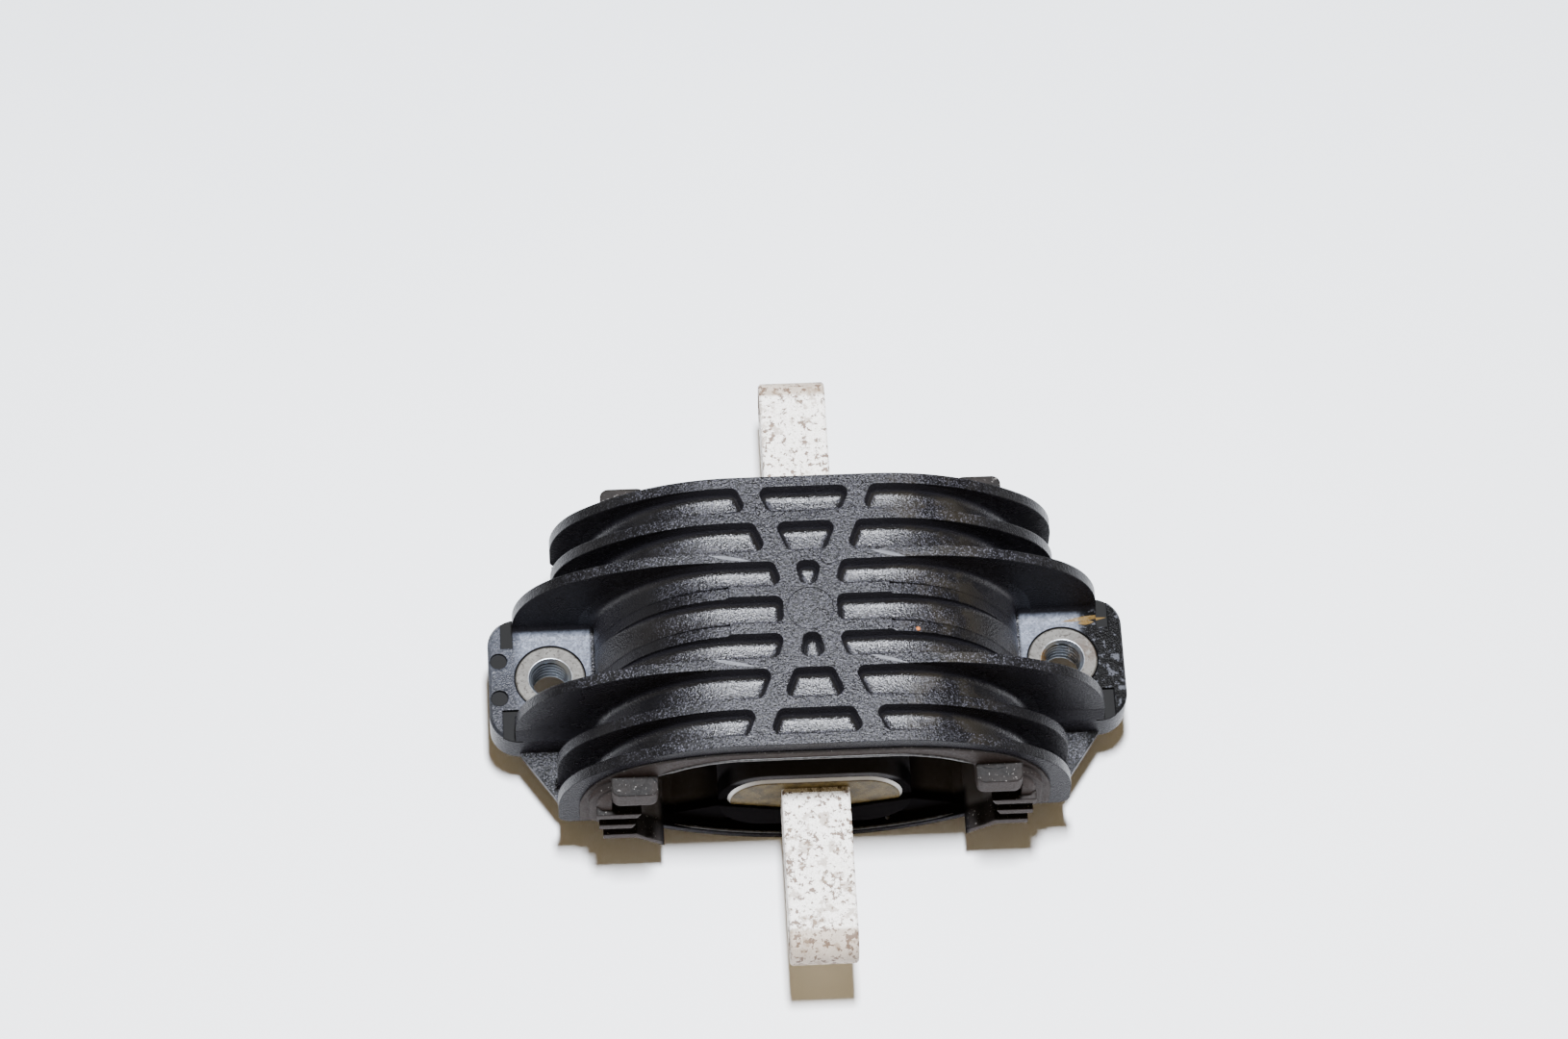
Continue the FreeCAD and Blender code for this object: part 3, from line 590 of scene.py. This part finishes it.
def floor_material():
    """Pale bluish table top with a faint mottle, and painted light that makes it lighter towards the front.
    """
    s = Shader("pale_table")
    cloud = s.noise(9.0, 3.0, 0.5)
    mottle = s.mix(s.ramp(cloud, 0.3, 0.7), rgb(0.70, 0.735, 0.77), rgb(0.74, 0.77, 0.80))
    colour = s.mix(s.ramp(s.y, *FLOOR_PAINTED_LIGHT_Y), rgb(0.93, 0.935, 0.95), mottle)
    return s.finish(colour, 0.6, s.bump(s.noise(700.0), 0.0001, 0.2), specular=0.3)


# Tools for pieces.


def add_piece(name, bm, material):
    """Turn a finished bmesh into a piece that rides with the object."""
    mesh = bpy.data.meshes.new(name)
    bm.normal_update()
    bm.to_mesh(mesh)
    bm.free()
    piece = bpy.data.objects.new(name, mesh)
    bpy.context.scene.collection.objects.link(piece)
    mesh.materials.append(material)
    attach(piece, "root")
    return piece


def smooth_by_angle(piece, degrees=60):
    """Smooth shading apart from edges sharper than an angle."""
    limit = math.radians(degrees)
    bm = bmesh.new()
    bm.from_mesh(piece.data)
    for face in bm.faces:
        face.smooth = True
    for edge in bm.edges:
        edge.smooth = len(edge.link_faces) == 2 and edge.calc_face_angle(0.0) < limit
    bm.to_mesh(piece.data)
    bm.free()


def add_band(bm, first, second, closed=True, mirrored=False):
    """Faces between two rings of vertices, or between two open rows of them."""
    count = len(first)
    for index in range(count if closed else count - 1):
        after = (index + 1) % count
        corners = [first[index], first[after], second[after], second[index]]
        bm.faces.new(corners[::-1] if mirrored else corners)


class Arch:
    """One side of an arch seen from the front: flat crown, shoulder arc, corner arc, leg."""

    def __init__(self, half_width, crown_z, corner_r):
        self.corner_r = corner_r
        self.corner_x = half_width - corner_r
        run = self.corner_x - CROWN_FLAT
        rise = crown_z - SPRING_Z
        self.shoulder_r = (run**2 + rise**2 - corner_r**2) / (2 * (rise - corner_r))
        self.shoulder_z = crown_z - self.shoulder_r
        self.join = math.atan2(SPRING_Z - self.shoulder_z, run)
        self.shoulder_length = self.shoulder_r * (math.pi / 2 - self.join)
        self.corner_length = corner_r * self.join
        self.half_width = half_width
        self.crown_z = crown_z

    def length_to(self, foot_z):
        return CROWN_FLAT + self.shoulder_length + self.corner_length + SPRING_Z - foot_z

    def at(self, distance):
        """Point and outward direction at a distance along the outline from the middle."""
        if distance <= CROWN_FLAT:
            return (distance, self.crown_z), (0.0, 1.0)
        distance -= CROWN_FLAT
        if distance <= self.shoulder_length:
            angle = math.pi / 2 - distance / self.shoulder_r
            out = (math.cos(angle), math.sin(angle))
            return (CROWN_FLAT + self.shoulder_r * out[0], self.shoulder_z + self.shoulder_r * out[1]), out
        distance -= self.shoulder_length
        if distance <= self.corner_length:
            angle = self.join - distance / self.corner_r
            out = (math.cos(angle), math.sin(angle))
            return (self.corner_x + self.corner_r * out[0], SPRING_Z + self.corner_r * out[1]), out
        return (self.half_width, SPRING_Z - (distance - self.corner_length)), (1.0, 0.0)

    def covers(self, x, z):
        """Whether a point, with X of 0 or more, lies under the crown or the shoulder."""
        if x <= CROWN_FLAT:
            return z < self.crown_z
        if math.hypot(x - CROWN_FLAT, z - self.shoulder_z) < self.shoulder_r:
            return z > SPRING_Z or x < self.half_width
        return False


TUBE = Arch(TUBE_HALF_WIDTH, TUBE_CROWN_Z, TUBE_CORNER_R)
LOW_FIN = Arch(LOW_FIN_HALF_WIDTH, LOW_FIN_CROWN_Z, TUBE_CORNER_R)


def low_fin_height(distance):
    """How far a low fin stands out of the tube there."""
    (x, z), out = TUBE.at(distance)
    if x < LOW_FIN_STEP_X:
        return POCKET_DEPTH
    height = 0.0
    while height < POCKET_DEPTH and LOW_FIN.covers(x + out[0] * height, z + out[1] * height):
        height += HEIGHT_STEP
    return height


# Pocket floors, rounded into their walls.


def inward_between(before, after):
    """Step from a corner that leads inward by one unit from both of the edges that meet there."""
    left_before = Vector((-before.y, before.x))
    left_after = Vector((-after.y, after.x))
    return (left_before + left_after) / (1 + left_before.dot(left_after))


def headings(corners, index):
    """Directions of the edges before and after a corner of an outline."""
    here = corners[index]
    before = (here - corners[index - 1]).normalized()
    after = (corners[(index + 1) % len(corners)] - here).normalized()
    return before, after


def rounded_outline(corners, radius, distance):
    """Anticlockwise outline moved inward, with rounded corners: a list of points for each corner."""
    radius = max(radius - distance, LEAST_CORNER_R)
    inset = []
    for index, here in enumerate(corners):
        inset.append(here + inward_between(*headings(corners, index)) * distance)
    result = []
    for index, here in enumerate(inset):
        before, after = headings(inset, index)
        centre = here + inward_between(before, after) * radius
        turn = math.atan2(before.x * after.y - before.y * after.x, before.dot(after))
        start = Vector((before.y, -before.x)) * radius
        steps = [Matrix.Rotation(turn * step / CORNER_STEPS, 2) for step in range(CORNER_STEPS + 1)]
        result.append([centre + rotation @ start for rotation in steps])
    return result


def section(draft, fillet, height):
    """Wall and fillet of a pocket in one plane: steps inward and heights over the floor."""
    fillet = min(fillet, max(height * FILLET_HEIGHT_SHARE, LEAST_FILLET_R))
    lean = draft * fillet / POCKET_DEPTH
    points = [(-draft * height / POCKET_DEPTH, height), (-lean, fillet)]
    for step in range(1, FILLET_STEPS + 1):
        angle = math.pi / 2 * step / FILLET_STEPS
        inward = (fillet + lean) * (1 - math.cos(angle)) - lean
        points.append((inward, fillet * (1 - math.sin(angle))))
    return points


def build_strip(bm, rings, closed, flips):
    """Join rings of points into faces, one copy for each pair of mirror signs, and fill the last ring."""
    for sign_x, sign_y in flips:
        mirrored = sign_x * sign_y < 0
        grid = [[bm.verts.new((p.x * sign_x, p.y * sign_y, p.z)) for p in ring] for ring in rings]
        floor = grid[-1]
        if closed:
            bm.faces.new(floor[::-1] if mirrored else floor)
        else:
            half = len(floor) // 2
            add_band(bm, floor[:half], floor[: half - 1 : -1], False, mirrored)
        for outer, inner in zip(grid, grid[1:]):
            add_band(bm, outer, inner, closed, mirrored)


def rib_side(y, sign):
    """Distance from the middle to the side of a crossed rib, the inner one for -1 and the outer one for 1."""
    return RIB_START_X + RIB_SLOPE * abs(y) + sign * (RIB_WIDTH / 2 + POCKET_DRAFT)


def centre_pocket_liner(bm, y_near, y_far):
    """Walls, fillet and floor of a pocket on the middle line, and of its twin on the other side."""
    near = y_near + POCKET_DRAFT
    far = y_far - POCKET_DRAFT
    half_near = max(rib_side(near, -1), POCKET_CORNER_R)
    half_far = rib_side(far, -1)
    corners = [Vector(c) for c in ((-half_near, near), (half_near, near), (half_far, far), (-half_far, far))]
    fillet = min(POCKET_FILLET_R, FILLET_WIDTH_SHARE * min(half_near + half_far, far - near))
    rings = []
    for step, height in section(POCKET_DRAFT, fillet, POCKET_DEPTH - LIFT):
        outline = rounded_outline(corners, POCKET_CORNER_R, step + LIFT)
        level = TUBE_CROWN_Z + height + LIFT
        rings.append([Vector((p.x, p.y, level)) for corner in outline for p in corner])
    build_strip(bm, rings, True, [(1, 1), (1, -1)])


def channel_wall_point(along, across, low_wall, side, layer):
    """Point of a channel's liner on one of its long walls, whose draft fades out past the crown."""
    fade = 1.0 - min(max((along - CROWN_FLAT) / DRAFT_FADE_LENGTH, 0.0), 1.0)
    height = POCKET_DEPTH - LIFT
    if low_wall:
        height = max(low_fin_height(along) - LIFT, LEAST_WALL)
    step, rise = section(POCKET_DRAFT * fade, POCKET_FILLET_R, height)[layer]
    (x, z), out = TUBE.at(along)
    level = rise + LIFT
    inward = step + LIFT - POCKET_DRAFT * (1.0 - fade)
    return Vector((x + out[0] * level, across - side * inward, z + out[1] * level))


def channel_liner(bm, y_near, y_far, foot_z, low_near, low_far, flips):
    """Wall and fillet round the inner end of a side channel and out along both of its fins."""
    near = y_near + POCKET_DRAFT
    far = y_far - POCKET_DRAFT
    end_near = max(rib_side(near, 1), CROWN_BOSS_R + POCKET_DRAFT)
    end_far = max(rib_side(far, 1), CROWN_BOSS_R + POCKET_DRAFT)
    outside = TUBE.length_to(foot_z)
    corners = [Vector(c) for c in ((outside, near), (outside, far), (end_far, far), (end_near, near))]
    run = outside - CROWN_FLAT
    stations = [CROWN_FLAT + run * index / CHANNEL_STEPS for index in range(CHANNEL_STEPS, -1, -1)]
    rings = []
    for layer, (step, rise) in enumerate(section(POCKET_DRAFT, POCKET_FILLET_R, POCKET_DEPTH - LIFT)):
        outline = rounded_outline(corners, POCKET_CORNER_R, step + LIFT)
        level = TUBE_CROWN_Z + rise + LIFT
        ring = [channel_wall_point(along, far, low_far, 1, layer) for along in stations]
        ring += [Vector((p.x, p.y, level)) for p in outline[2] + outline[3]]
        ring += [channel_wall_point(along, near, low_near, -1, layer) for along in stations[::-1]]
        rings.append(ring)
    build_strip(bm, rings, False, flips)


def pocket_liners(material):
    """Rounded floors and drafted walls of every pocket and channel on the crown."""
    bm = bmesh.new()
    for y_near, y_far in FIN_GAPS:
        centre_pocket_liner(bm, y_near, y_far)
    four = [(1, 1), (-1, 1), (1, -1), (-1, -1)]
    channel_liner(bm, *FIN_GAPS[0], EAR_TOP_Z, True, False, four)
    channel_liner(bm, *FIN_GAPS[1], TUBE_FOOT_Z, False, False, four)
    channel_liner(bm, *FIN_GAPS[2], TUBE_FOOT_Z, False, False, four)
    channel_liner(bm, -LOW_FIN_HALF_GAP, LOW_FIN_HALF_GAP, EAR_TOP_Z, True, True, four[:2])
    smooth_by_angle(add_piece("pocket_liners", bm, material))


# Small prisms on the housing.


def add_prism(bm, outline, x_from, x_to):
    """Prism along X whose outline is given as Y and Z."""
    start, end = ([bm.verts.new((x, y, z)) for y, z in outline] for x in (x_from, x_to))
    add_band(bm, start, end)
    bm.faces.new(start[::-1])
    bm.faces.new(end)


def mirrored_y(outline):
    return [(-y, z) for y, z in outline]


def fin_foot_fairings(material):
    """Slanted roots between the wide fins and the sides of the ears, and plugs at the back corner notches."""
    root = [
        (FIN_FACE_Y - FAIRING_BITE, EAR_TOP_Z - FAIRING_INNER_DROP),
        (EAR_SIDE_Y, EAR_TOP_Z - FAIRING_OUTER_DROP),
        (FIN_FACE_Y, EAR_TOP_Z + FAIRING_RISE),
        (FIN_FACE_Y - FAIRING_BITE, EAR_TOP_Z + FAIRING_RISE),
    ]
    plug = [
        (PLUG_INNER_Y, PLUG_FLOOR_Z),
        (PLUG_OUTER_Y, PLUG_FLOOR_Z),
        (PLUG_OUTER_Y, EAR_TOP_Z + PLUG_OUTER_RISE),
        (PLUG_INNER_Y, EAR_TOP_Z + LIFT),
    ]
    bm = bmesh.new()
    for side in (-1, 1):
        for outline in (mirrored_y(root), root):
            add_prism(bm, outline, side * TUBE_HALF_WIDTH, side * FIN_FOOT_X)
        add_prism(bm, plug, side * PLUG_X[0], side * PLUG_X[1])
    bmesh.ops.recalc_face_normals(bm, faces=bm.faces)
    add_piece("fin_foot_fairings", bm, material)


def gusset_tips(material):
    """Ends of the gusset plates, carried on under the end fins' feet."""
    tip = [
        (GUSSET_HALF_DEPTH - GUSSET_OVERLAP, LIFT),
        (END_FIN_BACK_Y + GUSSET_OVERLAP, LIFT),
        (END_FIN_BACK_Y + GUSSET_OVERLAP, END_FIN_FOOT_Z + GUSSET_OUTER_RISE),
        (END_FIN_BACK_Y - GUSSET_HEAD_INSET, END_FIN_FOOT_Z),
        (END_FIN_BACK_Y - GUSSET_FOOT_INSET, GUSSET_TOP_Z),
        (GUSSET_HALF_DEPTH - GUSSET_OVERLAP, GUSSET_TOP_Z - LIFT),
    ]
    bm = bmesh.new()
    for side in (-1, 1):
        for outline in (mirrored_y(tip), tip):
            add_prism(bm, outline, side * TUBE_HALF_WIDTH, side * GUSSET_TIP_X)
    bmesh.ops.recalc_face_normals(bm, faces=bm.faces)
    add_piece("gusset_tips", bm, material)


# Bushes.


def bore_radius(angle, z):
    """Radius of the threaded bore, widened to a chamfer at both mouths."""
    chamfer = max(0.0, BUSH_CHAMFER - min(z, EAR_TOP_Z - z))
    turn = (z / THREAD_PITCH - angle / (2 * math.pi)) % 1.0
    ridge = abs(2 * turn - 1)
    groove = THREAD_DEPTH * min(1.0, max(0.0, THREAD_FLANK_SLOPE * ridge - THREAD_CREST_SHARE))
    return THREAD_MINOR_R + max(groove, chamfer)


def threaded_bush(name, x, material):
    """Round bush whose bore carries a real thread."""
    outside = [
        (BUSH_OUTER_R - BUSH_EDGE, 0.0),
        (BUSH_OUTER_R, BUSH_EDGE),
        (BUSH_OUTER_R, EAR_TOP_Z - BUSH_EDGE),
        (BUSH_OUTER_R - BUSH_EDGE, EAR_TOP_Z),
        (THREAD_MINOR_R + BUSH_CHAMFER + BUSH_MOUTH_EDGE, EAR_TOP_Z),
    ]
    angles = [2 * math.pi * index / THREAD_SIDES for index in range(THREAD_SIDES)]
    rows = [([radius] * THREAD_SIDES, z) for radius, z in outside]
    for row in range(THREAD_ROWS + 1):
        z = EAR_TOP_Z * (1 - row / THREAD_ROWS)
        rows.append(([bore_radius(angle, z) for angle in angles], z))
    bm = bmesh.new()
    rings = []
    for radii, z in rows:
        places = [(x + r * math.cos(angle), r * math.sin(angle), z) for r, angle in zip(radii, angles)]
        rings.append([bm.verts.new(place) for place in places])
    for upper, lower in zip(rings, rings[1:] + rings[:1]):
        add_band(bm, upper, lower)
    bmesh.ops.recalc_face_normals(bm, faces=bm.faces)
    piece = add_piece(name, bm, material)
    smooth_by_angle(piece, 30)
    return piece


# Rubber details.


def add_bead(name, points, radii, material):
    """Round strip of rubber along a line of points, with a radius at each."""
    bm = bmesh.new()
    rings = []
    for index, place in enumerate(points):
        before = points[max(index - 1, 0)]
        after = points[min(index + 1, len(points) - 1)]
        heading = (after - before).normalized()
        side = heading.cross(Vector((0, 1, 0))).normalized()
        up = side.cross(heading)
        ring = []
        for step in range(BEAD_SIDES):
            angle = 2 * math.pi * step / BEAD_SIDES
            offset = side * math.cos(angle) + up * math.sin(angle)
            ring.append(bm.verts.new(place + offset * radii[index]))
        rings.append(ring)
    for first, second in zip(rings, rings[1:]):
        add_band(bm, first, second)
    bm.faces.new(rings[0][::-1])
    bm.faces.new(rings[-1])
    smooth_by_angle(add_piece(name, bm, material))


def taper(index, count):
    """Share of a bead's radius at a step from its middle, smaller near its ends."""
    return min(1.0, (count + 1 - abs(index)) / BEAD_TAPER_STEPS)


def opening_beads(material):
    """Raised bead of rubber along the upper edge of the opening, at both faces of the ring."""
    lip = Arch(TUBE_HALF_WIDTH - LINING_INSET, TUBE_CROWN_Z - LINING_INSET, TUBE_CORNER_R - LINING_INSET)
    reach = CROWN_FLAT + OPENING_BEAD_SHARE * lip.shoulder_length
    face_y = RING_HALF_DEPTH + OPENING_BEAD_OUT_Y
    random.seed(4)
    for name, y in (("front", -face_y), ("back", face_y)):
        points = []
        radii = []
        for index in range(-OPENING_BEAD_STEPS, OPENING_BEAD_STEPS + 1):
            (x, z), out = lip.at(reach * abs(index) / OPENING_BEAD_STEPS)
            side = 1 if index >= 0 else -1
            radius = OPENING_BEAD_R + OPENING_BEAD_RAGGED * random.random()
            points.append(Vector((side * (x + out[0] * OPENING_BEAD_OUT), y, z + out[1] * OPENING_BEAD_OUT)))
            radii.append(radius * taper(index, OPENING_BEAD_STEPS))
        add_bead("opening_bead_" + name, points, radii, material)


def belly_z(x):
    """Height of the belly's inner face."""
    return BELLY_CENTRE_Z - math.sqrt(BELLY_INNER_R**2 - x**2)


def belly_rims(material):
    """Thin bright edge of rubber along the belly, at both faces of the ring."""
    steps = range(-BELLY_RIM_STEPS, BELLY_RIM_STEPS + 1)
    across = [BELLY_RIM_HALF_WIDTH * index / BELLY_RIM_STEPS for index in steps]
    radii = [BELLY_RIM_R * taper(index, BELLY_RIM_STEPS) for index in steps]
    for name, y in (("front", -RING_HALF_DEPTH), ("back", RING_HALF_DEPTH)):
        add_bead("belly_rim_" + name, [Vector((x, y, belly_z(x))) for x in across], radii, material)


def nubs(material):
    """Small rubber nubs that the mould leaves on the belly under the core."""
    bm = bmesh.new()
    for x, y, radius in NUBS:
        place = Matrix.Translation((x, y, belly_z(x) + NUB_RISE_SHARE * radius))
        bmesh.ops.create_uvsphere(bm, u_segments=14, v_segments=10, radius=radius, matrix=place)
    smooth_by_angle(add_piece("belly_nubs", bm, material))


# Studio.


def add_key_light():
    data = bpy.data.lights.new("key_light", "AREA")
    data.shape = "RECTANGLE"
    data.size, data.size_y = KEY_LIGHT_SIZE
    data.energy = KEY_LIGHT_POWER
    data.color = KEY_LIGHT_COLOUR
    light = bpy.data.objects.new("key_light", data)
    light.location = KEY_LIGHT_PLACE
    light.rotation_euler = (-KEY_LIGHT_PLACE).to_track_quat("-Z", "Y").to_euler()
    bpy.context.scene.collection.objects.link(light)


def add_camera():
    """Camera at the photograph's place, with the photograph's slight roll."""
    azimuth, elevation = CAMERA_AZIMUTH, CAMERA_ELEVATION
    level_ahead = Vector((math.sin(azimuth), math.cos(azimuth), 0.0))
    forward = level_ahead * math.cos(elevation) - Vector((0.0, 0.0, math.sin(elevation)))
    level_right = Vector((math.cos(azimuth), -math.sin(azimuth), 0.0))
    level_up = level_right.cross(forward)
    right = level_right * math.cos(CAMERA_ROLL) + level_up * math.sin(CAMERA_ROLL)
    up = level_up * math.cos(CAMERA_ROLL) - level_right * math.sin(CAMERA_ROLL)
    data = bpy.data.cameras.new("camera")
    data.sensor_width = CAMERA_SENSOR
    data.lens = CAMERA_LENS
    data.clip_end = CAMERA_REACH
    camera = bpy.data.objects.new("camera", data)
    turn = Matrix((right, up, -forward)).transposed().to_4x4()
    camera.matrix_world = Matrix.Translation(CAMERA_TARGET - forward * CAMERA_DISTANCE) @ turn
    bpy.context.scene.collection.objects.link(camera)
    bpy.context.scene.camera = camera


def add_floor():
    bm = bmesh.new()
    bmesh.ops.create_grid(bm, x_segments=2, y_segments=2, size=FLOOR_SIZE)
    mesh = bpy.data.meshes.new("floor")
    bm.to_mesh(mesh)
    bm.free()
    floor = bpy.data.objects.new("floor", mesh)
    floor.location = (0.0, 0.0, FLOOR_Z)
    mesh.materials.append(floor_material())
    bpy.context.scene.collection.objects.link(floor)


def add_world():
    world = bpy.data.worlds.new("studio")
    world.use_nodes = True
    background = world.node_tree.nodes["Background"]
    background.inputs["Color"].default_value = SKY_COLOUR
    background.inputs["Strength"].default_value = SKY_STRENGTH
    bpy.context.scene.world = world


def give_material(node, material):
    node.data.materials.clear()
    node.data.materials.append(material)


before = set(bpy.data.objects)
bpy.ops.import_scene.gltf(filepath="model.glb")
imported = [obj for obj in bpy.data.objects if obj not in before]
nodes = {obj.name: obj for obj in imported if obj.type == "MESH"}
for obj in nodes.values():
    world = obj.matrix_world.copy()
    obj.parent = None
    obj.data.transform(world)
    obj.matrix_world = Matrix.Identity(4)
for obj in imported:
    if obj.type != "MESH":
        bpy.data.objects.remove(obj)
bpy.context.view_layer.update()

plastic = plastic_material("grainy_black_plastic", gloss=0.27, shine=0.16, sparkle=0.76)
pocket_plastic = plastic_material("glossy_pocket_plastic", gloss=0.26, shine=0.48, sparkle=0.72)
give_material(nodes["housing"], plastic)
give_material(nodes["rubber_body"], rubber_material())
give_material(nodes["core_sleeve"], core_material())
give_material(nodes["core_bar"], bar_material())
pocket_liners(pocket_plastic)
fin_foot_fairings(plastic)
gusset_tips(plastic)

rubber_edge = rubber_edge_material()
opening_beads(rubber_edge)
belly_rims(rubber_edge)
nubs(rubber_edge)

bush_steel = bush_material()
for side, x in (("left", -BUSH_X), ("right", BUSH_X)):
    bush = threaded_bush("threaded_bush_" + side, x, bush_steel)
    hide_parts("bush_" + side)

add_floor()
add_world()
add_camera()
add_key_light()
